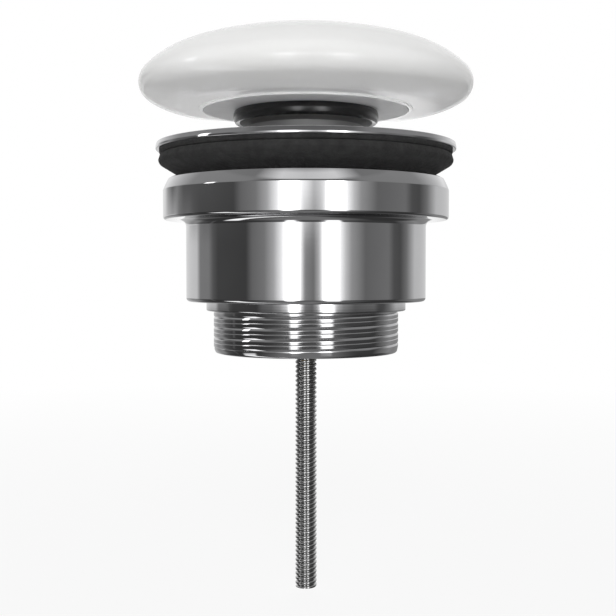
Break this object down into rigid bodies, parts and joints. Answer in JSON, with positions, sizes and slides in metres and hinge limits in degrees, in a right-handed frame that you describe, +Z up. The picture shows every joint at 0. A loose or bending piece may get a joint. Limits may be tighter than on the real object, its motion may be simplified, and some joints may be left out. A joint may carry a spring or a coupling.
{
  "type": "pop up basin waste",
  "caption": "Push-to-open basin waste: domed ceramic cap over a flanged throat, cone gasket, stepped lower body with a threaded tail, and a long central tie rod.",
  "frame": {"origin": "on the axis, at the underside of the flange rim where the waste bears on the basin", "axes": "+Z up along the axis towards the cap, +X and +Y level"},
  "size_m": [0.075, 0.075, 0.1267],
  "materials": {
    "glazed_ceramic": "white glazed ceramic",
    "grey_plastic": "moulded grey plastic",
    "brass": "turned",
    "seal_rubber": "smooth black rubber",
    "satin_metal": "satin",
    "steel": "zinc plated",
    "acetal": "natural acetal",
    "spring_steel": "drawn wire",
    "chrome": "polished chrome plate",
    "sponge_rubber": "matte black sponge rubber"
  },
  "bodies": {
    "flange": {"waste_flange": "chrome", "flange_seal": "sponge_rubber", "cartridge_sleeve": "brass", "cartridge_gland": "acetal", "stem_wiper": "seal_rubber", "sleeve_o_ring": "seal_rubber", "click_spring": "spring_steel", "tie_washer": "steel"},
    "cap": {"ceramic_cap": "glazed_ceramic", "cap_base_plate": "grey_plastic", "cap_socket": "brass", "plug_seal": "seal_rubber", "seal_carrier": "satin_metal", "plunger_stem": "steel", "push_crown": "acetal", "thrust_washer": "steel"},
    "rotor": {"index_rotor": "acetal"},
    "lower_body": {"body_housing": "chrome", "tail_piece": "chrome", "tail_o_ring": "seal_rubber", "body_gasket": "sponge_rubber", "tie_nut": "brass"},
    "tie_rod": {"tie_rod": "steel"}
  },
  "joints": [
    {"name": "cap_slide", "type": "slide", "parent": "flange", "child": "cap", "axis": [0, 0, 1], "range_m": [-0.0075, 0], "stiffness_N_per_m": 600, "springref_m": 0.006, "deforming": ["click_spring"]},
    {"name": "rotor_turn", "type": "hinge", "parent": "cap", "child": "rotor", "pos_m": [0, 0, -0.0155], "axis": [0, 0, 1], "range_deg": [0, 45.1]},
    {"name": "body_slide", "type": "slide", "parent": "flange", "child": "lower_body", "axis": [0, 0, 1], "range_m": [-0.045, 0]},
    {"name": "rod_turn", "type": "hinge", "parent": "flange", "child": "tie_rod", "pos_m": [0, 0, -0.037], "axis": [0, 0, 1], "range_deg": [0, 15400]}
  ],
  "couplings": [
    {"joint": "rotor_turn", "follows": "cap_slide", "rad_per_m": -104.72},
    {"joint": "rod_turn", "follows": "body_slide", "rad_per_m": -5936.7}
  ]
}
